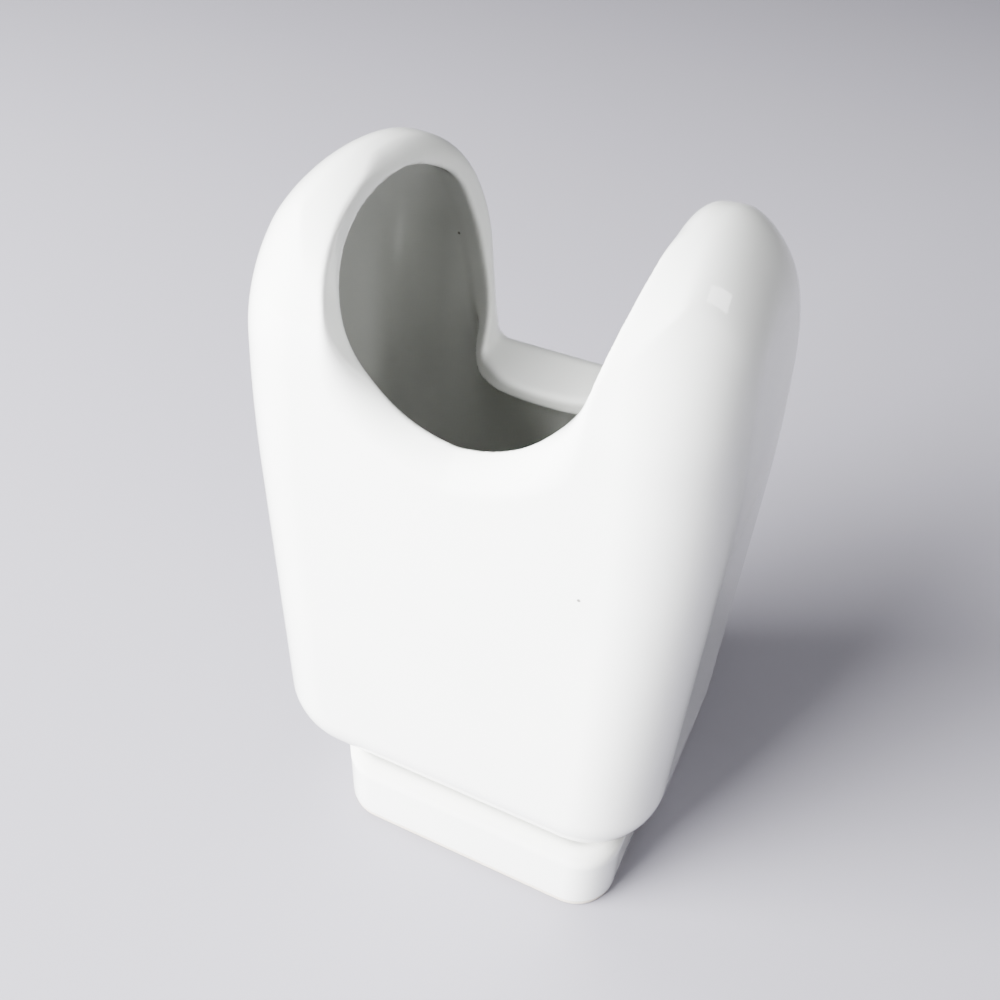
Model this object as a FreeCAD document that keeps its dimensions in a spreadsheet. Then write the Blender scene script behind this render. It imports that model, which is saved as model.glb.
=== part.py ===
import FreeCAD, Part

import math
import os

# A hollow pillow vase: a soft box whose top is parted by a U-shaped notch into two domed horns,
# open towards the notch, on a recessed rectangular foot. Behind, the notch ends in a flat ledge;
# in front, the wall ends in a round U that stands higher. X runs across the horns, Y from front to
# back, Z up; the origin is on the table under the middle of the body.

SIZES = {
    "total_height": 206.0,       # table to the crown of the horns
    "base_width": 122.6,         # body across X at its underside, before its rounding
    "crown_width": 129.7,        # body across X at the crown, before its shoulders
    "base_depth": 87.2,          # body across Y at its underside
    "crown_depth": 80.4,         # body across Y at the crown, before its dome
    "side_round": 22.5,          # rounding under the two sides
    "face_round": 12.0,          # rounding under the front and back faces
    "corner_round": 24.0,        # upright corners, seen from above
    "shoulder_width": 18.0,      # how far a horn's outer side curves in
    "shoulder_height": 70.0,     # the height over which it does so
    "dome_height": 34.5,         # the height of the dome that closes front to back
    "wall": 7.0,                 # thickness of the cast wall
    "notch_depth": 65.7,         # crown to the ledge, the bottom of the notch behind
    "notch_width": 41.6,         # notch across X at the height of the ledge
    "notch_crown_width": 72.3,   # notch across X at the crown
    "notch_round": 8.0,          # rounding in the notch's corners behind
    "lip_round": 9.0,            # roll of the ledge over the back face
    "front_notch_depth": 51.6,   # crown to the bottom of the front wall's U
    "front_notch_round": 22.0,   # rounding in that U's corners
    "front_lip_round": 8.0,      # roll of that U over the front face
    "lip_passing": 0.2,          # by which a roll passes the face that it ends at
    "ledge_start": 12.2,         # middle plane to the inner edge of the ledge
    "rim_width": 8.0,            # outer face to the mouth, where the mouth is widest
    "mouth_belly": 33.8,         # ledge to the widest place of the mouth
    "arch_wall": 4.7,            # crown to the top of the mouth's arch
    "foot_height": 20.2,         # table to the underside of the body
    "side_overhang": 14.8,       # by which the body is wider than the foot on each side
    "face_overhang": 1.9,        # the same in front and behind
    "foot_round": 13.0,          # upright corners of the foot
    "foot_shift": 7.0,           # the foot stands this far off the middle, towards +X
    "foot_wall": 8.0,            # thickness of the foot's wall
    "foot_reach": 9.0,           # how far the foot's wall goes up round the body's underside
    "ring_height": 2.2,          # bare bearing edge
    "ring_chamfer": 0.8,         # bevel on the bearing edge
    "overrun": 2.0,              # by which a cut passes the face that it opens
    "hair": 0.02,                # two places nearer than this count as one
}

# The mouth's flare from the ledge's edge to the belly: shares of the height and of the widening
FLARE_SHARES = [(0.25, 0.46), (0.63, 0.83)]
CORNER_SHARE = 0.96              # the most that two corners take of the side between them
DOME_ANGLES = [0, 14, 28, 42, 56, 68, 78, 85, 88.5]
ROUND_ANGLES = [0, 20, 40, 60, 75, 90]
LIP_ANGLES = [0, 22.5, 45, 67.5, 90]
STRAIGHT_SHARES = [0.33, 0.66]

doc = FreeCAD.newDocument("pillow_vase")
sheet = doc.addObject("Spreadsheet::Sheet", "Sizes")
for row, (alias, value) in enumerate(SIZES.items(), start=1):
    sheet.set("A%d" % row, alias)
    sheet.set("B%d" % row, str(value))
    sheet.setAlias("B%d" % row, alias)
doc.recompute()


def size(alias):
    return float(sheet.get(alias))


def feature(name, shape):
    made = doc.addObject("Part::Feature", name)
    made.Shape = shape
    return made


def combined(kind, name, base, tool):
    made = doc.addObject("Part::" + kind, name)
    made.Base = base
    made.Tool = tool
    return made


# The pillow body

def sag(reach, share):
    """how far a quarter ellipse has drawn in, at a share of its run"""
    return reach * (1 - math.sqrt(max(0.0, 1 - share * share)))


def half_width(z, inset):
    low = size("foot_height") + inset
    high = size("total_height") - inset
    climb = (z - size("foot_height")) / (size("total_height") - size("foot_height"))
    half = (size("base_width") + (size("crown_width") - size("base_width")) * climb) / 2 - inset
    curve = size("shoulder_height") - inset
    over = max(0.0, z - (high - curve)) / curve
    bend = size("side_round") - inset
    under = max(0.0, low + bend - z) / bend
    return half - sag(size("shoulder_width") - inset, over) - sag(bend, under)


def half_depth(z, inset):
    low = size("foot_height") + inset
    high = size("total_height") - inset
    climb = (z - size("foot_height")) / (size("total_height") - size("foot_height"))
    half = (size("base_depth") + (size("crown_depth") - size("base_depth")) * climb) / 2 - inset
    dome = size("dome_height") - inset
    over = max(0.0, z - (high - dome)) / dome
    bend = size("face_round") - inset
    under = max(0.0, low + bend - z) / bend
    return half - sag(half, over) - sag(bend, under)


def section(z, inset):
    """level outline of the pillow: four sides and four elliptical corners"""
    a = half_width(z, inset)
    b = half_depth(z, inset)
    turn = size("corner_round") - inset
    cy = min(turn, CORNER_SHARE * b)
    cx = turn
    edges = []
    corners = [(a - cx, b - cy, 0), (cx - a, b - cy, 90), (cx - a, cy - b, 180), (a - cx, cy - b, 270)]
    for number, (x, y, start) in enumerate(corners):
        points = []
        for angle in (start, start + 45, start + 90):
            t = math.radians(angle)
            points.append(FreeCAD.Vector(x + cx * math.cos(t), y + cy * math.sin(t), z))
        middle = FreeCAD.Vector(x, y, z)
        wide = cx >= cy
        major = FreeCAD.Vector(cx, 0, 0) if wide else FreeCAD.Vector(0, cy, 0)
        minor = FreeCAD.Vector(0, cy, 0) if wide else FreeCAD.Vector(cx, 0, 0)
        if cx == cy:
            edges.append(Part.Arc(*points).toShape())
        else:
            ellipse = Part.Ellipse(middle + major, middle + minor, middle)
            first = ellipse.parameter(points[0])
            last = ellipse.parameter(points[2])
            if last < first:
                last += 2 * math.pi
            edges.append(Part.Edge(ellipse, first, last))
        nx, ny, begin = corners[(number + 1) % len(corners)]
        t = math.radians(begin)
        ahead = FreeCAD.Vector(nx + cx * math.cos(t), ny + cy * math.sin(t), z)
        edges.append(Part.makeLine(points[2], ahead))
    return Part.Wire(edges)


def pillow(inset):
    low = size("foot_height") + inset
    high = size("total_height") - inset
    side = size("side_round") - inset
    face = size("face_round") - inset
    curve = size("shoulder_height") - inset
    dome = size("dome_height") - inset
    levels = set()
    for angle in ROUND_ANGLES:
        rise = 1 - math.cos(math.radians(angle))
        levels.add(round(low + face * rise, 3))
        if low + side * rise > low + face:
            levels.add(round(low + side * rise, 3))
    for share in STRAIGHT_SHARES:
        levels.add(round(low + side + (high - curve - low - side) * share, 3))
    levels.add(round(high - curve, 3))
    levels.add(round(high - (curve + dome) / 2, 3))
    for angle in DOME_ANGLES:
        levels.add(round(high - dome + dome * math.sin(math.radians(angle)), 3))
    return Part.makeLoft([section(z, inset) for z in sorted(levels)], True, False)


# The notch: each half of the body has its own, given by its bottom (low) and corner radius (turn)

def ledge_height():
    return size("total_height") - size("notch_depth")


def rounded_corner(corner, towards, away, radius, limit):
    """an arc in the corner of two lines, with its two ends no farther off than the limit"""
    u = (towards - corner).normalize()
    v = (away - corner).normalize()
    half = u.getAngle(v) / 2
    reach = min(radius / math.tan(half), limit)
    fitted = reach * math.tan(half)
    bisector = (u + v).normalize()
    middle = corner + bisector * (fitted / math.sin(half) - fitted)
    return corner + u * reach, middle, corner + v * reach


def notch_outline(low, turn, y, grow, drop):
    """upright outline of the notch: widened by grow all round, its bottom lower by drop"""
    slope = (size("notch_crown_width") - size("notch_width")) / 2
    slope /= size("notch_depth")
    spread = grow * math.hypot(1, slope)
    high = size("total_height") + size("overrun")
    bottom = low - grow - drop
    foot = size("notch_width") / 2 + slope * (low - grow - ledge_height()) + spread
    head = size("notch_width") / 2 + slope * (high - ledge_height()) + spread
    radius = turn + grow + drop / 2
    limit = CORNER_SHARE * foot
    top_left = FreeCAD.Vector(-head, y, high)
    low_left = FreeCAD.Vector(-foot, y, bottom)
    low_right = FreeCAD.Vector(foot, y, bottom)
    top_right = FreeCAD.Vector(head, y, high)
    a, b, c = rounded_corner(low_left, top_left, low_right, radius, limit)
    d, e, f = rounded_corner(low_right, low_left, top_right, radius, limit)
    return Part.Wire([
        Part.makeLine(top_left, a),
        Part.Arc(a, b, c).toShape(),
        Part.makeLine(c, d),
        Part.Arc(d, e, f).toShape(),
        Part.makeLine(f, top_right),
        Part.makeLine(top_right, top_left),
    ])


def notch_prism(low, turn, half_length, grow):
    outline = notch_outline(low, turn, -half_length, grow, 0)
    return Part.Face(outline).extrude(FreeCAD.Vector(0, 2 * half_length, 0))


def lip_reach(low, roll):
    """half the depth of the body where the roll of the lip ends or under the dome, just passed"""
    dome_start = size("total_height") - size("dome_height")
    return max(half_depth(low - roll, 0), half_depth(dome_start, 0)) + size("lip_passing")


def lip_cut(low, turn, roll):
    """the notch's end at the face, its bottom rolling over that face"""
    outlines = []
    for angle in LIP_ANGLES:
        t = math.radians(angle)
        y = lip_reach(low, roll) - roll + roll * math.sin(t)
        outlines.append(notch_outline(low, turn, y, 0, roll * (1 - math.cos(t))))
    return Part.makeLoft(outlines, True, False)


# The mouth

def mouth_outline(low, slot, x):
    """upright outline of the mouth, seen from the side: half a slot wide below, an arch above"""
    bottom = low - size("wall") - 2 * size("overrun")
    start = ledge_height()
    wide = start + size("mouth_belly")
    crown = size("total_height") - size("arch_wall")
    belly = half_depth(wide, 0) - size("rim_width")
    edges = []
    for side in (-1, 1):
        if slot is None:
            edges.append(Part.makeLine(FreeCAD.Vector(x, side * belly, bottom),
                                       FreeCAD.Vector(x, side * belly, wide)))
            continue
        points = [FreeCAD.Vector(x, side * slot, start)]
        for height_share, width_share in FLARE_SHARES:
            y = slot + (belly - slot) * width_share
            points.append(FreeCAD.Vector(x, side * y, start + size("mouth_belly") * height_share))
        points.append(FreeCAD.Vector(x, side * belly, wide))
        flare = Part.BSplineCurve()
        flare.interpolate(points)
        edges.append(flare.toShape())
        edges.append(Part.makeLine(FreeCAD.Vector(x, side * slot, bottom), points[0]))
    middle = FreeCAD.Vector(x, 0, wide)
    arch = Part.Ellipse(middle + FreeCAD.Vector(0, belly, 0), FreeCAD.Vector(x, 0, crown), middle)
    edges.append(Part.Edge(arch, 0, math.pi))
    sill = belly if slot is None else slot
    edges.append(Part.makeLine(FreeCAD.Vector(x, -sill, bottom), FreeCAD.Vector(x, sill, bottom)))
    return Part.Wire(Part.__sortEdges__(edges))


def mouth_cut(low, turn, slot):
    reach = size("crown_width") / 2
    through = Part.Face(mouth_outline(low, slot, -reach)).extrude(FreeCAD.Vector(2 * reach, 0, 0))
    around = notch_prism(low, turn, size("crown_depth") / 2, size("wall") + size("overrun"))
    return through.common(around)


outer_form = feature("outer_form", pillow(0))
inner_form = feature("inner_form", pillow(size("wall")))


# The floor and the two halves

def bound_box(name, lengths, places):
    box = doc.addObject("Part::Box", name)
    for prop, text in zip(("Length", "Width", "Height"), lengths):
        box.setExpression(prop, text)
    for axis, text in zip("xyz", places):
        box.setExpression("Placement.Base." + axis, text)
    return box


def upright_edges(shape):
    """numbers of the edges that stand upright"""
    found = []
    for number, edge in enumerate(shape.Edges, start=1):
        ends = [vertex.Point for vertex in edge.Vertexes]
        if len(ends) == 2 and abs(ends[0].z - ends[1].z) > size("hair"):
            if math.hypot(ends[0].x - ends[1].x, ends[0].y - ends[1].y) < size("hair"):
                found.append(number)
    return found


floor_plug = bound_box(
    "floor_plug",
    ("Sizes.base_width - 2 * Sizes.side_round - 2 * Sizes.wall",
     "Sizes.base_depth - 2 * Sizes.face_round - 2 * Sizes.wall",
     "Sizes.wall + 2 * Sizes.overrun"),
    ("Sizes.side_round + Sizes.wall - Sizes.base_width / 2",
     "Sizes.face_round + Sizes.wall - Sizes.base_depth / 2",
     "Sizes.foot_height - Sizes.overrun"))
back_space = bound_box(
    "back_space",
    ("2 * Sizes.crown_width", "Sizes.base_depth", "2 * Sizes.total_height"),
    ("-Sizes.crown_width", "0", "-Sizes.overrun"))
half_form = combined("Common", "half_form", outer_form, back_space)


def half_shell(name, low, turn, roll, slot):
    """the +Y half of the body, with its notch, lip and mouth; without a slot the mouth is straight"""
    notch_tool = feature(name + "_notch", notch_prism(low, turn, lip_reach(low, roll) - roll, 0))
    lip_tool = feature(name + "_lip", lip_cut(low, turn, roll))
    skin_tool = feature(name + "_skin", notch_prism(low, turn, size("base_depth"), size("wall")))
    mouth_tool = feature(name + "_mouth", mouth_cut(low, turn, slot))
    parted = combined("Cut", name + "_parted", half_form, notch_tool)
    notched = combined("Cut", name + "_notched", parted, lip_tool)
    cavity = combined("Cut", name + "_cavity", inner_form, skin_tool)
    closed = combined("Cut", name + "_closed", notched, cavity)
    opened = combined("Cut", name + "_opened", closed, mouth_tool)
    return combined("Cut", name, opened, floor_plug)


back_shell = half_shell("back_shell", ledge_height(), size("notch_round"),
                        size("lip_round"), size("ledge_start"))
front_half = half_shell("front_half", size("total_height") - size("front_notch_depth"),
                        size("front_notch_round"), size("front_lip_round"), None)
front_shell = doc.addObject("Part::Mirroring", "front_shell")
front_shell.Source = front_half
front_shell.Normal = FreeCAD.Vector(0, 1, 0)
hollow_body = combined("Cut", "hollow_body", outer_form, inner_form)
body_floor = combined("Common", "body_floor", hollow_body, floor_plug)
doc.recompute()


# The foot

FOOT_WIDTH = "(Sizes.base_width - 2 * Sizes.side_overhang)"
FOOT_DEPTH = "(Sizes.base_depth - 2 * Sizes.face_overhang)"


def foot_body(name, low, high):
    """a rounded rectangular ring between two heights, given as expressions"""
    body = doc.addObject("PartDesign::Body", name)

    def block(kind, label, less):
        made = body.newObject("PartDesign::" + kind, name + "_" + label)
        made.setExpression("Length", "%s - 2 * (%s)" % (FOOT_WIDTH, less))
        made.setExpression("Width", "%s - 2 * (%s)" % (FOOT_DEPTH, less))
        made.setExpression("Height", "(%s) - (%s)" % (high, low))
        made.setExpression("Placement.Base.x", "Sizes.foot_shift - %s / 2 + (%s)" % (FOOT_WIDTH, less))
        made.setExpression("Placement.Base.y", "(%s) - %s / 2" % (less, FOOT_DEPTH))
        made.setExpression("Placement.Base.z", low)
        doc.recompute()
        return made

    def rounded(base, label, radius, edges):
        made = body.newObject("PartDesign::Fillet", name + "_" + label)
        made.Base = (base, ["Edge%d" % number for number in edges])
        made.setExpression("Radius", radius)
        doc.recompute()
        return made

    solid = block("AdditiveBox", "block", "0")
    before = upright_edges(solid.Shape)
    rounded(solid, "corners", "Sizes.foot_round", before)
    hollow = block("SubtractiveBox", "hollow", "Sizes.foot_wall")
    inner = []
    for number in upright_edges(hollow.Shape):
        middle = hollow.Shape.Edges[number - 1].CenterOfMass
        inset_x = size("base_width") / 2 - size("side_overhang") - abs(middle.x - size("foot_shift"))
        inset_y = size("base_depth") / 2 - size("face_overhang") - abs(middle.y)
        if min(inset_x, inset_y) > size("foot_wall") / 2:
            inner.append(number)
    body.Tip = rounded(hollow, "hollow_corners", "Sizes.foot_round - Sizes.foot_wall", inner)
    return body


collar_blank = foot_body("collar_blank", "Sizes.ring_height", "Sizes.foot_height + Sizes.foot_reach")
foot_collar = combined("Cut", "foot_collar", collar_blank, outer_form)
ring_blank = foot_body("ring_blank", "0", "Sizes.ring_height")
foot_ring = doc.addObject("Part::Chamfer", "foot_ring")
foot_ring.Base = ring_blank
bottom_edges = []
for number, edge in enumerate(ring_blank.Shape.Edges, start=1):
    box = edge.BoundBox
    if box.ZMax < size("ring_height") / 2:
        bottom_edges.append((number, size("ring_chamfer"), size("ring_chamfer")))
foot_ring.Edges = bottom_edges
doc.recompute()

nodes = [front_shell, back_shell, body_floor, foot_collar, foot_ring]
for made in doc.Objects:
    if "Invalid" in made.State or "Error" in made.State:
        raise RuntimeError("%s failed: %s" % (made.Name, made.State))

os.makedirs("parts", exist_ok=True)
for node in nodes:
    node.Label = node.Name
    shape = node.Shape
    if shape.isNull() or not shape.isValid() or len(shape.Solids) != 1:
        raise RuntimeError("%s: %d solids, valid %s" % (node.Name, len(shape.Solids), shape.isValid()))
    shape.exportStep("parts/%s.step" % node.Label)
    print("%s %.0f mm3" % (node.Label, shape.Volume))
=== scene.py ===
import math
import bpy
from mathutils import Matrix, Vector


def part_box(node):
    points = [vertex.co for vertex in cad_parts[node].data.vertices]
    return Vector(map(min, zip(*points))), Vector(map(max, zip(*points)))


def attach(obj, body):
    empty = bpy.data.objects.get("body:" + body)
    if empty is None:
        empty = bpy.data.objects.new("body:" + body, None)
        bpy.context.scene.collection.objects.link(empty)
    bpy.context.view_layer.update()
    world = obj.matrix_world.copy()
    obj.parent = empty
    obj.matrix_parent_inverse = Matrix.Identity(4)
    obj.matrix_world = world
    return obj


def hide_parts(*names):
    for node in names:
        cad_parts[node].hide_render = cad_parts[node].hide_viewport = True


bl_info = {
    "name": "Pillow vase",
    "version": (1, 0, 0),
    "blender": (4, 5, 0),
    "location": "3D View > Sidebar > Vase",
    "description": "A glazed pillow vase with two hollow horns on a recessed foot",
    "category": "Object",
}

import bpy
import numpy as np
from bpy.props import FloatProperty, FloatVectorProperty, IntProperty, PointerProperty
from mathutils import Matrix, Vector

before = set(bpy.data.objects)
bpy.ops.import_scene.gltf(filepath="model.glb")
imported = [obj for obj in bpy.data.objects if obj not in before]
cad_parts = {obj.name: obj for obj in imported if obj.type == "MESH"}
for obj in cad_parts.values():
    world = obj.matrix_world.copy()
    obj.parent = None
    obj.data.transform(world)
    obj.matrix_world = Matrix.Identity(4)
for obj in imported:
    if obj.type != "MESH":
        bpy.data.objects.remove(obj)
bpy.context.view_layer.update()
MM = 0.001
BODY = "root"

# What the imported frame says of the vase, in millimetres; its front faces minus Y
BACK_LOW, BACK_HIGH = (np.array(corner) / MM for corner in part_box("back_shell"))
FRONT_LOW, FRONT_HIGH = (np.array(corner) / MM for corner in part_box("front_shell"))
FOOT_LOW, FOOT_HIGH = (np.array(corner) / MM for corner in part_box("foot_collar"))
RING_LOW, RING_HIGH = (np.array(corner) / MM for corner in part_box("foot_ring"))
CROWN = BACK_HIGH[2]
UNDERSIDE = BACK_LOW[2]

# The foot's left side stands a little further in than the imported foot's
FOOT_TRIM = 1.8
FOOT_LOW[0] += FOOT_TRIM
FOOT_MIDDLE = (FOOT_LOW + FOOT_HIGH) / 2
FOOT_HALF = (FOOT_HIGH - FOOT_LOW) / 2

# How far the glazed body stays below the solids' crown
CROWN_CLEARANCE = 0.05

# Where along Y the front's form stops holding and the back's begins: the notch and its lips, the
# wall's thickness, and how close the notch's sides stand
NOTCH_HOLDS = -16.0
NOTCH_ENDS = 0.0
WALL_HOLDS = 0.0
WALL_ENDS = 20.0
NARROW_HOLDS = -32.0
NARROW_ENDS = 20.0

# The height where the wall starts to thin towards the crown, and how long it takes
THINNING_START = 178.0
THINNING_RUN = 24.0

# The middle of a horn's crown along X, and where its bow starts
BOW_MIDDLE = 42.0
BOW_START = 30.0

# How deep below the outer surface the grey painted inside the vase as shade reaches its full
# strength
INNER_SHADE_DEPTH = 1.4

# Limits that keep the distances smooth: how far up the shoulder's ellipse a side climbs, how far
# the dome's heart reaches and the steepness that stands in there, and how gently the webs set off
CLIMB_SHARE = 0.98
HEART_SHARE = 0.05
HEART_STEEPNESS = 0.5
WEB_EASE = 0.012

# How a surface is drawn out of the distances
MARGIN_CELLS = 2
RELAX_SHARES = (0.5, 0.5, 0.3)
SETTLE_ROUNDS = 2
ROUGH_REACH_CELLS = 1 / 8
FINE_REACH_CELLS = 1 / 20
LEAST_STEEPNESS = 0.2
LONGEST_MOVE = 1.0

# Levels of the foot's side above its lower edge, and the edge's start, as shares of their sizes
FOOT_LEVEL_SHARES = (0.3, 0.6, 0.85, 1.0)
FOOT_EDGE_SHARE = 0.4


# Sizes and colours that a user would change

def length(label, words, default):
    """a size in metres, from a default in millimetres"""
    return FloatProperty(name=label, description=words, default=default * MM, unit="LENGTH",
                         precision=5)


def share_of_one(label, words, default):
    """a strength between nought and one"""
    return FloatProperty(name=label, description=words, default=default, subtype="FACTOR",
                         min=0.0, max=1.0)


def colour(label, words, default):
    """a colour without alpha"""
    return FloatVectorProperty(name=label, description=words, default=default, subtype="COLOR",
                               size=3, min=0.0, max=1.0)


class VaseForm(bpy.types.PropertyGroup):
    """The form of the glazed body"""
    base_half_width: length("Base half width", "Half the body's width at its underside", 60.7)
    crown_half_width: length("Crown half width", "Half the body's width at the crown", 64.1)
    base_half_depth: length("Base half depth", "Half the body's depth at its underside", 42.8)
    crown_half_depth: length("Crown half depth", "Half the body's depth at the crown", 41.4)
    side_round: length("Side round", "Rounding under the two sides", 23.6)
    face_round: length("Face round", "Rounding under the front and back faces", 11.2)
    corner_round: length("Corner round", "Rounding of the upright corners", 22.4)
    shoulder_width: length("Shoulder width", "How far a horn's outer side curves in", 14.8)
    shoulder_height: length("Shoulder height", "Height over which it does so", 85.0)
    crown_round: length("Crown round", "Rounding between a horn's outer side and crown", 13.0)
    crown_bow: length("Crown bow", "Radius of a horn's crown, seen from the front", 12.0)
    dome_height: length("Dome height", "Height of the dome that closes front to back", 44.2)
    wall: length("Wall", "Thickness of the cast wall in front", 7.5)
    back_wall: length("Back wall", "Thickness of the cast wall behind", 9.8)
    crown_thinning: length("Crown thinning", "How much thinner the wall is at the crown", 1.8)
    skin: length("Skin", "Thickness of the ledge and of its webs", 4.2)
    notch_height: length("Notch height", "Table to the ledge behind", 142.1)
    notch_half_width: length("Notch half width", "Half the notch's width at the ledge", 22.5)
    notch_slope: FloatProperty(name="Notch slope", default=0.205,
                               description="Outward lean of the notch's sides")
    back_narrowing: length("Back narrowing", "How much closer the sides stand behind", 1.4)
    notch_round: length("Notch round", "Rounding in the notch's corners behind", 1.2)
    lip_round: length("Lip round", "Roll of the ledge over the back face", 11.6)
    lip_fade: length("Lip fade", "Height over which the roll turns into a crease", 37.7)
    front_height: length("Front height", "Table to the bottom of the front U", 157.0)
    front_round: length("Front round", "Rounding in the corners of the front U", 26.6)
    front_lip_round: length("Front lip round", "Roll of the front U over the front", 10.9)
    front_lip_fade: length("Front lip fade", "Height over which that roll creases", 27.5)
    crease_round: length("Crease round", "Rounding of the crease on the horns' front", 0.8)
    back_crease: length("Back crease", "Roll of the horns' flanks over their backs", 4.5)
    ledge_start: length("Ledge start", "Middle plane to the ledge's inner edge", 11.6)
    web_start: length("Web start", "Way along the notch where the ledge's webs begin", 10.2)
    web_end: length("Web end", "Way along the notch where they reach the back wall", 55.0)
    web_reach: length("Web reach", "Middle plane to the webs' far end", 36.7)
    web_round: length("Web round", "Rounding between the webs and the back wall", 4.0)
    skin_edge: length("Skin edge", "Rounding of the skin's lower edge", 1.0)
    edge_round: length("Edge round", "Rounding of the mouth's edge", 1.5)
    inner_round: length("Inner round", "Rounding between the hollow and the skin", 3.6)


class VaseFoot(bpy.types.PropertyGroup):
    """The form of the glazed foot and of the bearing ring"""
    wall: length("Foot wall", "Thickness of the foot's wall", 7.5)
    corner_round: length("Foot corner", "Rounding of the foot's upright corners", 13.0)
    least_round: length("Least corner", "Smallest rounding of a corner, on the inside", 1.5)
    edge_round: length("Foot edge", "Rounding of the glazed wall's lower edge", 1.2)
    tuck: length("Tuck", "How far the foot reaches up into the body", 6.0)
    ring_inset: length("Ring inset", "How far in the bearing ring stands", 0.5)
    ring_edge: length("Ring edge", "Size of the ring's outer lower edge", 1.0)
    ring_belly: length("Ring belly", "How far in that edge's middle lies", 0.3)
    ring_inner_edge: length("Ring inner edge", "Size of the ring's inner lower edge", 0.6)


class VaseFinish(bpy.types.PropertyGroup):
    """Colours and gloss of the vase and of the stage"""
    glaze: colour("Glaze", "The white glaze", (0.80, 0.81, 0.785))
    # Painted shade: this grey stands in for the shade inside the hollow; the inside's own glaze
    # is the white one
    lining: colour("Painted inner shade", "Grey painted inside the vase as shade", (0.43, 0.435, 0.415))
    pooled: colour("Pooled glaze", "The glaze where it lies thick", (0.70, 0.725, 0.71))
    thin: colour("Thin glaze", "The glaze where it runs thin over an edge", (0.66, 0.63, 0.58))
    clay: colour("Clay", "The bare clay of the bearing edge", (0.52, 0.47, 0.40))
    speck: colour("Speck", "Pinholes in the glaze", (0.10, 0.09, 0.08))
    floor: colour("Floor", "The stage's floor", (0.28, 0.272, 0.31))
    room: colour("Room", "The light that comes from all round", (0.78, 0.77, 0.90))
    room_strength: share_of_one("Room strength", "Strength of that light", 0.11)
    pooled_strength: share_of_one("Pooled strength", "How much the pooled glaze shows", 0.30)
    thin_strength: share_of_one("Thin strength", "How much the thin glaze shows", 0.30)
    freckle_strength: share_of_one("Freckle strength", "How much its freckles show", 0.05)
    hole_strength: share_of_one("Hole strength", "How dark the pinholes are", 0.9)
    rubbed_strength: share_of_one("Rubbed strength", "How much glaze the clay has taken", 0.5)
    grain_strength: share_of_one("Grain strength", "How dark the clay's grain is", 0.35)
    coat_weight: share_of_one("Coat weight", "How much clear glaze lies on top", 0.35)
    glaze_roughness: share_of_one("Glaze roughness", "Least roughness of the glaze", 0.05)
    glaze_spread: share_of_one("Glaze spread", "What its uneven places add", 0.05)
    clay_roughness: share_of_one("Clay roughness", "Least roughness of the clay", 0.72)
    clay_spread: share_of_one("Clay spread", "What its uneven places add", 0.15)
    floor_roughness: share_of_one("Floor roughness", "Least roughness of the floor", 0.62)
    floor_spread: share_of_one("Floor spread", "What its uneven places add", 0.08)


class VaseBuild(bpy.types.PropertyGroup):
    """How finely the vase is made"""
    spacing: length("Spacing", "Distance between the points of the glazed surface", 0.85)
    quick_spacing: length("Quick spacing", "The same distance in a quick look", 2.2)
    corner_steps: IntProperty(name="Corner steps", description="Steps round a corner of the foot",
                              default=14, min=3)
    seed: IntProperty(name="Seed", description="Seed of the glaze's uneven places", default=5)


def sizes(group):
    """a property group's lengths in millimetres and its plain numbers, by name"""
    values = {}
    for name in group.__annotations__:
        value = getattr(group, name)
        is_length = group.bl_rna.properties[name].unit == "LENGTH"
        values[name] = value / MM if is_length else value
    return values


# The form as a distance field: below zero inside the ware, in millimetres

def round_max(first, second, radius):
    """the larger of two distances, with the corner between them rounded"""
    corner = np.hypot(np.maximum(first + radius, 0), np.maximum(second + radius, 0))
    return np.minimum(np.maximum(first, second), -radius) + corner


def smooth_step(share):
    """nought to one, level at both ends"""
    share = np.clip(share, 0, 1)
    return share * share * (3 - 2 * share)


def mixed(share, none, whole):
    """the first value where the share is nought, the second where it is one"""
    return none + share * (whole - none)


def forward(y, holds, ends):
    """one in front of where the front's form holds, nought behind where it ends"""
    return smooth_step((ends - y) / (ends - holds))


def wide_profile(x, half, z, top, form):
    """distance to the outline seen from the front: sides that curve in above the shoulder"""
    rise = np.clip((z - top) / form["shoulder_height"] + 1, 0, CLIMB_SHARE)
    upright = np.sqrt(1 - rise * rise)
    lean = form["shoulder_width"] / form["shoulder_height"] * rise / upright
    side = (np.abs(x) - half + form["shoulder_width"] * (1 - upright)) / np.hypot(1, lean)
    bow = (np.maximum(np.abs(x), BOW_START) - BOW_MIDDLE) ** 2 / (2 * form["crown_bow"])
    side = round_max(side, z - top + bow, form["crown_round"])
    return round_max(side, UNDERSIDE - z, form["side_round"])


def deep_profile(y, half, z, top, form):
    """distance to the outline seen from the side: upright faces, closed by half an ellipse"""
    dome = form["dome_height"]
    out = np.abs(y) / half
    up = np.maximum(z - (top - dome), 0) / dome
    reach = np.maximum(np.hypot(out, up), HEART_SHARE)
    steep = np.hypot(out / reach / half, up / reach / dome)
    steep = steep + HEART_STEEPNESS / dome * (reach <= HEART_SHARE)
    face = np.where(up > 0, (reach - 1) / steep, np.abs(y) - half)
    return round_max(face, UNDERSIDE - z, form["face_round"])


def pillow_field(x, y, z, form):
    """the closed pillow; its two outlines meet above the crown, which their rounding takes off"""
    climb = (z - UNDERSIDE) / (CROWN - UNDERSIDE)
    half_width = mixed(climb, form["base_half_width"], form["crown_half_width"])
    half_depth = mixed(climb, form["base_half_depth"], form["crown_half_depth"])
    top = CROWN - CROWN_CLEARANCE + form["corner_round"] * (1 - math.sqrt(0.5))
    wide = wide_profile(x, half_width, z, top, form)
    deep = deep_profile(y, half_depth, z, top, form)
    return round_max(wide, deep, form["corner_round"])


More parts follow.
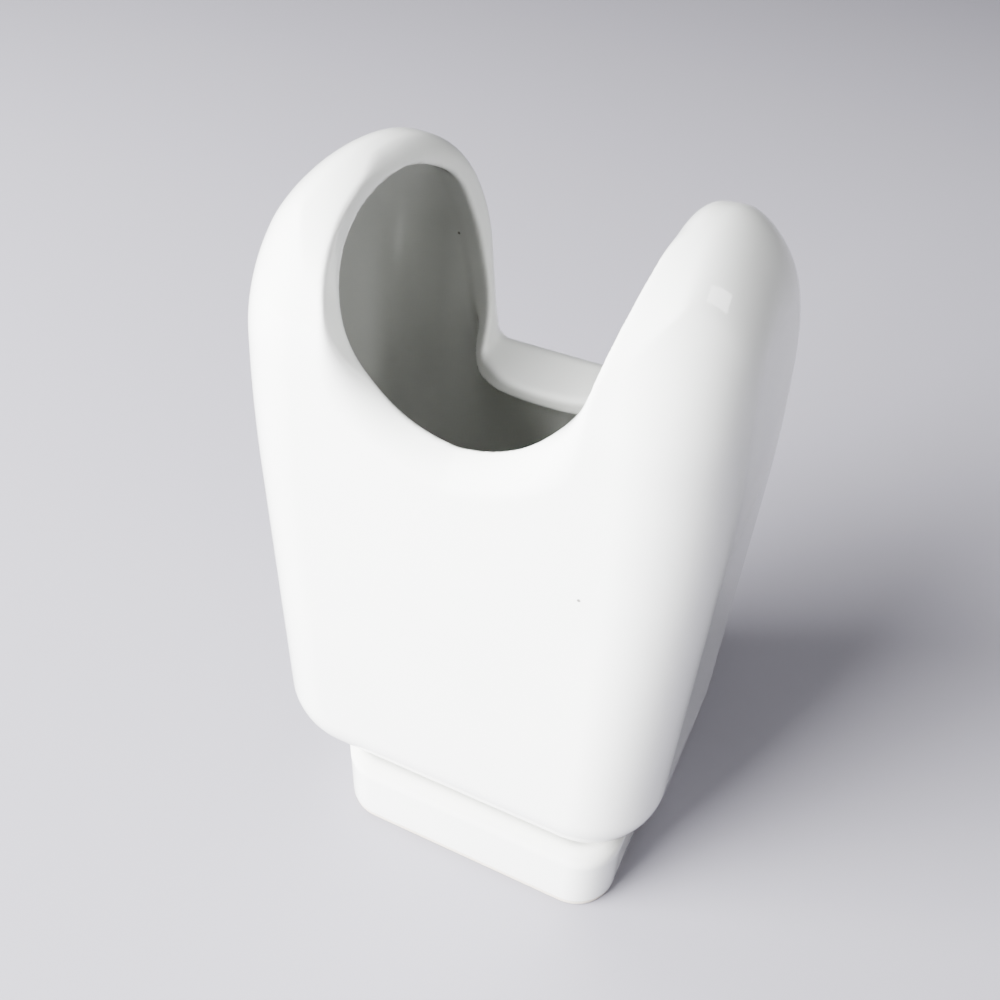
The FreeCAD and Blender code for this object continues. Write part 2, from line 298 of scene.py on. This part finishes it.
def notch_field(x, y, z, form):
    """below zero in the space of the notch: a flat ledge behind, a round U in front"""
    half = form["notch_half_width"] + form["notch_slope"] * (z - form["notch_height"])
    flank = (np.abs(x) - half) / math.hypot(1, form["notch_slope"])
    flank = flank + mixed(forward(y, NARROW_HOLDS, NARROW_ENDS), form["back_narrowing"], 0)
    ledge = round_max(flank, form["notch_height"] - z, form["notch_round"])
    front = round_max(flank, form["front_height"] - z, form["front_round"])
    return mixed(forward(y, NOTCH_HOLDS, NOTCH_ENDS), ledge, front)


def web_field(x, y, z, form):
    """below zero in front of the ledge and of the webs that carry it up both flanks"""
    along = np.abs(x) + z - form["notch_height"]
    run = form["web_end"] - form["web_start"]
    widening = form["web_reach"] - form["ledge_start"]
    share = (along - form["web_start"]) / run
    eased = np.minimum((share + np.sqrt(share * share + WEB_EASE)) / 2, 1) * math.pi / 2
    slope = widening / run * math.pi / 2 * np.cos(eased)
    return (y - form["ledge_start"] - widening * np.sin(eased)) / np.sqrt(1 + 2 * slope * slope)


def outer_field(x, y, z, form):
    """the pillow less the notch, whose edges roll low down and crease higher up"""
    pillow = pillow_field(x, y, z, form)
    notch = notch_field(x, y, z, form)
    back_fade = smooth_step((z - form["notch_height"]) / form["lip_fade"])
    back_lip = mixed(back_fade, form["lip_round"], form["back_crease"])
    front_fade = smooth_step((z - form["front_height"]) / form["front_lip_fade"])
    front_lip = mixed(front_fade, form["front_lip_round"], form["crease_round"])
    lip = mixed(forward(y, NOTCH_HOLDS, NOTCH_ENDS), back_lip, front_lip)
    return round_max(pillow, -notch, lip)


def inner_field(x, y, z, form):
    """the hollow and the mouth that opens it"""
    notch = notch_field(x, y, z, form)
    wall = mixed(forward(y, WALL_HOLDS, WALL_ENDS), form["back_wall"], form["wall"])
    thinning = form["crown_thinning"] * smooth_step((z - THINNING_START) / THINNING_RUN)
    inside = pillow_field(x, y, z, form) + wall - thinning
    hollow = round_max(inside, form["skin"] - notch, form["inner_round"])
    mouth = round_max(inside, web_field(x, y, z, form), form["web_round"])
    return -round_max(-hollow, -mouth, form["skin_edge"])


def ware_field(x, y, z, form):
    """the whole glazed body"""
    return round_max(outer_field(x, y, z, form), -inner_field(x, y, z, form), form["edge_round"])


# From a distance field to a surface: a net with one point in each cell that the surface passes

def cell_edges():
    """the twelve edges of a cell, each as its two ends"""
    edges = []
    for axis in range(3):
        for corner in range(4):
            low = [corner % 2, corner // 2]
            low.insert(axis, 0)
            high = list(low)
            high[axis] = 1
            edges.append((np.array(low), np.array(high)))
    return edges


def net_points(values):
    """a point in each cell that the surface passes, and each cell's number"""
    cells = tuple(count - 1 for count in values.shape)
    corners_inside = np.zeros(cells, np.int8)
    for offset in np.ndindex(2, 2, 2):
        corner = tuple(slice(start, start + count) for start, count in zip(offset, cells))
        corners_inside += values[corner] < 0
    active = (corners_inside > 0) & (corners_inside < 8)
    number = np.full(cells, -1, np.int64)
    number[active] = np.arange(int(active.sum()))
    place = np.stack(np.nonzero(active), 1)
    total = np.zeros((len(place), 3))
    weight = np.zeros(len(place))
    for low, high in cell_edges():
        at_low = values[tuple((place + low).T)]
        at_high = values[tuple((place + high).T)]
        crossed = (at_low < 0) != (at_high < 0)
        share = np.where(crossed, at_low / np.where(crossed, at_low - at_high, 1), 0)
        point = low + share[:, None] * (high - low)
        total += np.where(crossed[:, None], point, 0)
        weight += crossed
    return place + total / weight[:, None], number


def net_faces(values, number):
    """a four-sided face round each grid edge that the surface crosses"""
    inside = values < 0
    unit = np.eye(3, dtype=np.int64)
    faces = []
    for axis in range(3):
        right = (axis + 1) % 3
        up = (axis + 2) % 3
        near_end = [slice(None)] * 3
        far_end = [slice(None)] * 3
        near_end[axis] = slice(0, -1)
        far_end[axis] = slice(1, None)
        near_inside = inside[tuple(near_end)]
        spots = np.stack(np.nonzero(near_inside != inside[tuple(far_end)]), 1)
        spots = spots[(spots[:, right] > 0) & (spots[:, up] > 0)]
        ring = [spots - unit[right] - unit[up], spots - unit[up], spots, spots - unit[right]]
        face = np.stack([number[tuple(cell.T)] for cell in ring], 1)
        leaving = near_inside[tuple(spots.T)]
        face[~leaving] = face[~leaving][:, ::-1]
        faces.append(face)
    return np.concatenate(faces)


def gradient(field, points, reach):
    """the field's slope at the points, from places that lie the reach to either side"""
    slopes = []
    for axis in range(3):
        step = np.zeros(3)
        step[axis] = reach
        slopes.append((field(*(points + step).T) - field(*(points - step).T)) / (2 * reach))
    return np.stack(slopes, 1)


def settle(field, points, reach):
    """moves the points onto the surface along the field's slope"""
    for _ in range(SETTLE_ROUNDS):
        slope = gradient(field, points, reach)
        steep = np.maximum((slope * slope).sum(1), LEAST_STEEPNESS)
        move = field(*points.T)[:, None] * slope / steep[:, None]
        points = points - np.clip(move, -LONGEST_MOVE, LONGEST_MOVE)
    return points


def relax(points, faces, share):
    """draws each point towards the middle of its neighbours, to even out the faces"""
    total = np.zeros_like(points)
    count = np.zeros(len(points))
    for corner in range(4):
        for neighbour in ((corner + 1) % 4, (corner + 3) % 4):
            np.add.at(total, faces[:, corner], points[faces[:, neighbour]])
            np.add.at(count, faces[:, corner], 1)
    return points + share * (total / count[:, None] - points)


def field_surface(field, low, high, spacing):
    """the points and faces of the field's surface, between two corners of a box"""
    margin = MARGIN_CELLS * spacing
    axes = [np.arange(start - margin, end + margin, spacing) for start, end in zip(low, high)]
    x, y = np.meshgrid(axes[0], axes[1], indexing="ij")
    slabs = [field(x, y, np.full_like(x, height)) for height in axes[2]]
    values = np.stack(slabs, 2)
    points, number = net_points(values)
    faces = net_faces(values, number)
    points = points * spacing + np.array([axis[0] for axis in axes])
    for share in RELAX_SHARES:
        points = settle(field, relax(points, faces, share), spacing * ROUGH_REACH_CELLS)
    return settle(field, points, spacing * FINE_REACH_CELLS), faces


def mesh_object(name, points, faces):
    """an object of four-sided faces from points in millimetres"""
    mesh = bpy.data.meshes.new(name)
    mesh.vertices.add(len(points))
    mesh.vertices.foreach_set("co", (np.asarray(points) * MM).astype(np.float32).ravel())
    mesh.loops.add(4 * len(faces))
    mesh.loops.foreach_set("vertex_index", np.asarray(faces, np.int32).ravel())
    mesh.polygons.add(len(faces))
    mesh.polygons.foreach_set("loop_start", np.arange(0, 4 * len(faces), 4, dtype=np.int32))
    mesh.update(calc_edges=True)
    mesh.validate()
    mesh.polygons.foreach_set("use_smooth", np.ones(len(mesh.polygons), bool))
    obj = bpy.data.objects.new(name, mesh)
    bpy.context.scene.collection.objects.link(obj)
    return obj


# Rounded rectangular rings, for the foot

def ring_loop(inset, z, radius, steps):
    """one level loop of a rounded rectangle, an inset within the foot's side"""
    points = []
    for quarter in range(4):
        side_x = 1 if quarter in (0, 3) else -1
        side_y = 1 if quarter in (0, 1) else -1
        middle_x = FOOT_MIDDLE[0] + side_x * (FOOT_HALF[0] - inset - radius)
        middle_y = FOOT_MIDDLE[1] + side_y * (FOOT_HALF[1] - inset - radius)
        for step in range(steps + 1):
            turn = math.pi / 2 * (quarter + step / steps)
            points.append((middle_x + radius * math.cos(turn),
                           middle_y + radius * math.sin(turn), z))
    return points


def ring_object(name, outline, form, steps):
    """a closed ring: outline holds pairs of inset and height, round its section"""
    points = []
    for inset, z in outline:
        radius = max(form["corner_round"] - inset, form["least_round"])
        points += ring_loop(inset, z, radius, steps)
    across = 4 * (steps + 1)
    rows = len(outline)
    faces = []
    for row in range(rows):
        above = (row + 1) % rows
        for spot in range(across):
            ahead = (spot + 1) % across
            faces.append((row * across + spot, row * across + ahead,
                          above * across + ahead, above * across + spot))
    return mesh_object(name, points, faces)


def arc(middle, radius, start, end, steps):
    """pairs on an arc, angles in degrees"""
    pairs = []
    for step in range(steps + 1):
        turn = math.radians(start + (end - start) * step / steps)
        pairs.append((middle[0] + radius * math.cos(turn), middle[1] + radius * math.sin(turn)))
    return pairs


# Shader building

# A Mix node's sockets for colours: its factor, its two colours and what comes out
MIX_FACTOR = 0
MIX_FIRST = 6
MIX_SECOND = 7
MIX_RESULT = 2


class Value:
    """a node's output, with arithmetic that adds Math nodes"""

    def __init__(self, shader, socket):
        self.shader = shader
        self.socket = socket

    def __add__(self, other):
        return self.shader.math("ADD", self, other)

    def __sub__(self, other):
        return self.shader.math("SUBTRACT", self, other)

    def __rsub__(self, other):
        return self.shader.math("SUBTRACT", other, self)

    def __mul__(self, other):
        return self.shader.math("MULTIPLY", self, other)

    __radd__ = __add__
    __rmul__ = __mul__


class Shader:
    """a new material and what its nodes are made with"""

    def __init__(self, name):
        self.material = bpy.data.materials.new(name)
        self.material.use_nodes = True
        self.tree = self.material.node_tree
        self.tree.nodes.clear()

    def add(self, kind, settings=None, inputs=None, output=0):
        """a node of one kind: its settings come first, then its sockets' values or links"""
        node = self.tree.nodes.new(kind)
        for name, value in (settings or {}).items():
            if name == "stops":
                for element, (place, shade) in zip(node.color_ramp.elements, value):
                    element.position = place
                    element.color = (shade, shade, shade, 1)
            else:
                setattr(node, name, value)
        for name, value in (inputs or {}).items():
            socket = node.inputs[name]
            if isinstance(value, Value):
                self.tree.links.new(value.socket, socket)
            elif socket.type == "RGBA":
                socket.default_value = tuple(value) + (1,)
            else:
                socket.default_value = value
        return Value(self, node.outputs[output] if node.outputs else None)

    def math(self, operation, first, second):
        """a Math node on two values or numbers"""
        return self.add("ShaderNodeMath", {"operation": operation}, {0: first, 1: second})

    def place(self):
        """the place of the shaded point"""
        return self.add("ShaderNodeNewGeometry")

    def noise(self, scale, detail, roughness, offset=(0, 0, 0)):
        """uneven grey, its scale in cells per metre"""
        moved = self.add("ShaderNodeVectorMath", {"operation": "ADD"},
                         {0: self.place(), 1: offset})
        return self.add("ShaderNodeTexNoise", {}, {
            "Vector": moved, "Scale": scale, "Detail": detail, "Roughness": roughness})

    def ramp(self, value, start, end):
        """nought up to the start, one from the end on"""
        return self.add("ShaderNodeValToRGB", {"stops": [(start, 0), (end, 1)]}, {"Fac": value})

    def mix(self, share, first, second):
        """the first colour where the share is nought, the second where it is one"""
        inputs = {MIX_FACTOR: share, MIX_FIRST: first, MIX_SECOND: second}
        return self.add("ShaderNodeMix", {"data_type": "RGBA"}, inputs, MIX_RESULT)

    def bump(self, height, strength, distance, below=None):
        """a normal that a height tilts, over another bump where one is given"""
        inputs = {"Height": height, "Strength": strength, "Distance": distance}
        if below is not None:
            inputs["Normal"] = below
        return self.add("ShaderNodeBump", {}, inputs)

    def near(self, spots, radius, heart):
        """one within the heart round each spot, falling to nought at the radius"""
        total = None
        for spot in spots:
            gap = self.add("ShaderNodeVectorMath", {"operation": "DISTANCE"},
                           {0: self.place(), 1: tuple(spot)}, "Value")
            mark = self.add("ShaderNodeMapRange", {"interpolation_type": "SMOOTHSTEP"},
                            {"Value": gap, "From Min": radius, "From Max": heart})
            total = mark if total is None else self.math("MAXIMUM", total, mark)
        return total

    def coat(self, inputs):
        """closes the material with its Principled shader"""
        surface = self.add("ShaderNodeBsdfPrincipled", {}, inputs)
        self.add("ShaderNodeOutputMaterial", {}, {"Surface": surface})
        return self.material


def glaze_material(name, pinholes, paints_inner_shade=False):
    """thick white glaze: glossy, faintly wavy, a little thin and warm over the edges"""
    shader = Shader(name)
    finish = bpy.context.scene.vase_finish
    seed = bpy.context.scene.vase_build.seed
    cloud = shader.noise(scale=18.0, detail=2.0, roughness=0.5, offset=(seed, 0, 0))
    pooled = shader.ramp(cloud, start=0.42, end=0.66)
    body = shader.mix(pooled * finish.pooled_strength, finish.glaze, finish.pooled)
    point = shader.add("ShaderNodeNewGeometry", output="Pointiness")
    edge = shader.ramp(point, start=0.53, end=0.62)
    body = shader.mix(edge * finish.thin_strength, body, finish.thin)
    fine = shader.noise(scale=900.0, detail=2.0, roughness=0.6)
    freckle = shader.ramp(fine, start=0.73, end=0.80)
    body = shader.mix(freckle * finish.freckle_strength, body, finish.thin)
    # Inside the hollow the glaze's colour gives way to grey painted as shade
    if paints_inner_shade:
        lining = shader.add("ShaderNodeAttribute", {"attribute_name": "lining"}, output="Fac")
        body = shader.mix(lining, body, finish.lining)
    swell = shader.noise(scale=34.0, detail=1.0, roughness=0.4)
    peel = shader.noise(scale=420.0, detail=2.0, roughness=0.5)
    normal = shader.bump(swell, strength=0.10, distance=0.0012)
    normal = shader.bump(peel, strength=0.05, distance=0.00012, below=normal)
    if pinholes:
        hole = shader.near(pinholes, radius=0.0006, heart=0.00021)
        body = shader.mix(hole * finish.hole_strength, body, finish.speck)
        normal = shader.bump(1 - hole, strength=0.6, distance=0.0004, below=normal)
    uneven = shader.noise(scale=60.0, detail=3.0, roughness=0.6)
    rough = uneven * finish.glaze_spread + finish.glaze_roughness
    return shader.coat({"Base Color": body, "Roughness": rough, "Normal": normal, "IOR": 1.5,
                        "Coat Weight": finish.coat_weight, "Coat Roughness": 0.03})


def clay_material(name):
    """bare fired clay: matte, fine grained, rubbed on the bearing edge"""
    shader = Shader(name)
    finish = bpy.context.scene.vase_finish
    cloud = shader.noise(scale=70.0, detail=4.0, roughness=0.6)
    grain = shader.noise(scale=2200.0, detail=3.0, roughness=0.7)
    rubbed = shader.ramp(cloud, start=0.35, end=0.7)
    dark = shader.ramp(grain, start=0.56, end=0.72)
    body = shader.mix(rubbed * finish.rubbed_strength, finish.clay, finish.thin)
    body = shader.mix(dark * finish.grain_strength, body, finish.speck)
    rough = cloud * finish.clay_spread + finish.clay_roughness
    normal = shader.bump(grain, strength=0.5, distance=0.00015)
    return shader.coat({"Base Color": body, "Roughness": rough, "Normal": normal})


def floor_material(name):
    """a pale matte floor"""
    shader = Shader(name)
    finish = bpy.context.scene.vase_finish
    cloud = shader.noise(scale=3.0, detail=2.0, roughness=0.5)
    rough = cloud * finish.floor_spread + finish.floor_roughness
    return shader.coat({"Base Color": finish.floor, "Roughness": rough})


# The camera: the photograph's viewing angle as turns in radians, where the vase's middle lies
# from the camera, to the right, down and ahead in millimetres, and the focus in pixels

CAMERA_PITCH = 0.703
CAMERA_AZIMUTH = 0.411
CAMERA_ROLL = 0.053
MIDDLE_AHEAD = (3.59, 3.07, 293.31)
CAMERA_FOCUS = 1056.5
PICTURE_WIDTH = 1000.0

# The height of the vase's middle in millimetres, the sensor's width, and the nearest that the
# camera sees, in metres
LOOK_HEIGHT = 110.0
SENSOR_WIDTH = 36.0
NEAR_CLIP = 0.01

# Pinholes in the glaze, as pixels of the photograph
PINHOLE_PIXELS = [(579, 601), (459, 233)]


def plane_turn(angle, first, second):
    """a turn in the plane of two axes"""
    turn = np.eye(3)
    turn[first, first] = turn[second, second] = math.cos(angle)
    turn[first, second] = math.sin(angle)
    turn[second, first] = -math.sin(angle)
    return turn


def camera_turn():
    """rows: the camera's right, down and forward, in the vase's frame"""
    upright = np.array([[1, 0, 0], [0, 0, -1], [0, 1, 0]])
    azimuth = plane_turn(CAMERA_AZIMUTH, 0, 1)
    pitch = plane_turn(CAMERA_PITCH, 2, 1)
    roll = plane_turn(CAMERA_ROLL, 1, 0)
    return roll @ pitch @ upright @ azimuth


def camera_matrix():
    """where the camera stands and looks, in metres"""
    turn = camera_turn()
    place = np.array([0, 0, LOOK_HEIGHT]) - turn.T @ np.array(MIDDLE_AHEAD)
    matrix = np.eye(4)
    matrix[:3, 0] = turn[0]
    matrix[:3, 1] = -turn[1]
    matrix[:3, 2] = -turn[2]
    matrix[:3, 3] = place * MM
    return Matrix(matrix.tolist())


def seen_spot(obj, pixel):
    """the place on the object that a pixel of the photograph shows"""
    right, down = np.array(pixel) - PICTURE_WIDTH / 2
    ray = camera_turn().T @ np.array([right, down, CAMERA_FOCUS])
    hit, place, _, _ = obj.ray_cast(camera_matrix().translation, Vector(ray).normalized())
    if not hit:
        raise RuntimeError("the pixel %s misses the %s" % (pixel, obj.name))
    return place


# Operators

class VASE_OT_glazed_body(bpy.types.Operator):
    """Makes the hollow glazed body with its two horns"""
    bl_idname = "vase.glazed_body"
    bl_label = "Glazed body"

    def execute(self, context):
        form = sizes(context.scene.vase_form)
        build = sizes(context.scene.vase_build)
        spacing = build["spacing"]

        def field(x, y, z):
            return ware_field(x, y, z, form)

        low = np.minimum(BACK_LOW, FRONT_LOW)
        high = np.maximum(BACK_HIGH, FRONT_HIGH)
        points, faces = field_surface(field, low, high, spacing)
        body = mesh_object("glazed_body", points, faces)
        # How far each point lies inside the outer surface sets where the grey painted as shade
        # covers the inside
        depth = -outer_field(*points.T, form)
        lining = body.data.attributes.new("lining", "FLOAT", "POINT")
        lining.data.foreach_set("value", smooth_step(depth / INNER_SHADE_DEPTH).astype(np.float32))
        spots = [seen_spot(body, pixel) for pixel in PINHOLE_PIXELS]
        body.data.materials.append(glaze_material("white_glaze_body", spots, paints_inner_shade=True))
        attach(body, BODY)
        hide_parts("front_shell", "back_shell", "body_floor")
        return {"FINISHED"}


class VASE_OT_glazed_foot(bpy.types.Operator):
    """Makes the glazed wall of the foot"""
    bl_idname = "vase.glazed_foot"
    bl_label = "Glazed foot"

    def execute(self, context):
        form = sizes(context.scene.vase_foot)
        steps = context.scene.vase_build.corner_steps
        low = FOOT_LOW[2]
        high = UNDERSIDE + form["tuck"]
        wall = form["wall"]
        edge = form["edge_round"]
        side_low = low + edge
        rounding = arc((0, side_low), edge, start=-60, end=0, steps=5)
        outline = [(edge * FOOT_EDGE_SHARE, low)]
        outline += [(edge - out, z) for out, z in rounding]
        outline += [(0, mixed(share, side_low, UNDERSIDE)) for share in FOOT_LEVEL_SHARES]
        outline += [(0, high), (wall, high), (wall, low)]
        foot = ring_object("glazed_foot", outline, form, steps)
        foot.data.materials.append(glaze_material("white_glaze_foot", []))
        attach(foot, BODY)
        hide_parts("foot_collar")
        return {"FINISHED"}


class VASE_OT_bearing_ring(bpy.types.Operator):
    """Makes the bare clay ring that the vase stands on"""
    bl_idname = "vase.bearing_ring"
    bl_label = "Bearing ring"

    def execute(self, context):
        form = sizes(context.scene.vase_foot)
        steps = context.scene.vase_build.corner_steps
        low = RING_LOW[2]
        high = RING_HIGH[2]
        side = form["ring_inset"]
        edge = form["ring_edge"]
        belly = form["ring_belly"]
        wall = form["wall"]
        inner = form["ring_inner_edge"]
        outline = [(side, low + edge), (side + belly, low + belly), (side + edge, low)]
        outline += [(wall - inner, low), (wall, low + inner), (wall, high), (side, high)]
        ring = ring_object("bearing_ring", outline, form, steps)
        ring.data.materials.append(clay_material("bare_clay_ring"))
        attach(ring, BODY)
        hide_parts("foot_ring")
        return {"FINISHED"}


# The stage: half the floor's width, and where the large window's light stands, in metres
FLOOR_REACH = 6.0
KEY_PLACE = (-0.92, -1.05, 0.66)


def soft_box(name, place, width, height, watts, mirrored=True):
    """an area light that looks at the vase's middle; the glaze may mirror it or not"""
    light = bpy.data.lights.new(name, "AREA")
    light.shape = "RECTANGLE"
    light.size = width
    light.size_y = height
    light.energy = watts
    lamp = bpy.data.objects.new(name, light)
    lamp.location = place
    ray = Vector((0, 0, LOOK_HEIGHT * MM)) - Vector(place)
    lamp.rotation_euler = ray.to_track_quat("-Z", "Y").to_euler()
    lamp.visible_glossy = mirrored
    bpy.context.scene.collection.objects.link(lamp)


class VASE_OT_stage(bpy.types.Operator):
    """Makes the floor, the lights and the camera"""
    bl_idname = "vase.stage"
    bl_label = "Stage"

    def execute(self, context):
        finish = context.scene.vase_finish
        mesh = bpy.data.meshes.new("floor")
        corners = [(-1, -1, 0), (1, -1, 0), (1, 1, 0), (-1, 1, 0)]
        mesh.from_pydata([Vector(corner) * FLOOR_REACH for corner in corners], [], [(0, 1, 2, 3)])
        floor = bpy.data.objects.new("floor", mesh)
        floor.data.materials.append(floor_material("pale_floor"))
        context.scene.collection.objects.link(floor)

        soft_box("key_window", KEY_PLACE, width=1.3, height=1.3, watts=330.0, mirrored=False)
        soft_box("key_glint", KEY_PLACE, width=0.5, height=0.7, watts=30.0)
        soft_box("top_fill", place=(0.2, -0.3, 1.2), width=0.5, height=0.5, watts=5.0)
        soft_box("right_window", place=(0.62, 0.36, 0.80), width=0.22, height=0.34, watts=2.8)

        world = bpy.data.worlds.new("studio")
        world.use_nodes = True
        background = world.node_tree.nodes["Background"]
        background.inputs["Color"].default_value = tuple(finish.room) + (1,)
        background.inputs["Strength"].default_value = finish.room_strength
        context.scene.world = world

        camera = bpy.data.cameras.new("photograph")
        camera.sensor_width = SENSOR_WIDTH
        camera.lens = CAMERA_FOCUS / PICTURE_WIDTH * SENSOR_WIDTH
        camera.clip_start = NEAR_CLIP
        viewer = bpy.data.objects.new("photograph", camera)
        viewer.matrix_world = camera_matrix()
        context.scene.collection.objects.link(viewer)
        context.scene.camera = viewer
        return {"FINISHED"}


class VASE_PT_panel(bpy.types.Panel):
    """Lists the vase's sizes, colours and steps"""
    bl_label = "Pillow vase"
    bl_idname = "VASE_PT_panel"
    bl_space_type = "VIEW_3D"
    bl_region_type = "UI"
    bl_category = "Vase"

    def draw(self, context):
        column = self.layout.column()
        for group_name, kind in GROUPS.items():
            for name in kind.__annotations__:
                column.prop(getattr(context.scene, group_name), name)
        for operator in STEPS:
            column.operator(operator.bl_idname)


STEPS = (VASE_OT_glazed_body, VASE_OT_glazed_foot, VASE_OT_bearing_ring, VASE_OT_stage)
GROUPS = {"vase_form": VaseForm, "vase_foot": VaseFoot, "vase_finish": VaseFinish,
          "vase_build": VaseBuild}
CLASSES = tuple(GROUPS.values()) + STEPS + (VASE_PT_panel,)


def register():
    for made in CLASSES:
        bpy.utils.register_class(made)
    for name, group in GROUPS.items():
        setattr(bpy.types.Scene, name, PointerProperty(type=group))


def unregister():
    for name in GROUPS:
        delattr(bpy.types.Scene, name)
    for made in reversed(CLASSES):
        bpy.utils.unregister_class(made)


def main():
    register()
    bpy.ops.vase.glazed_body()
    bpy.ops.vase.glazed_foot()
    bpy.ops.vase.bearing_ring()
    bpy.ops.vase.stage()


if __name__ == "__main__":
    main()
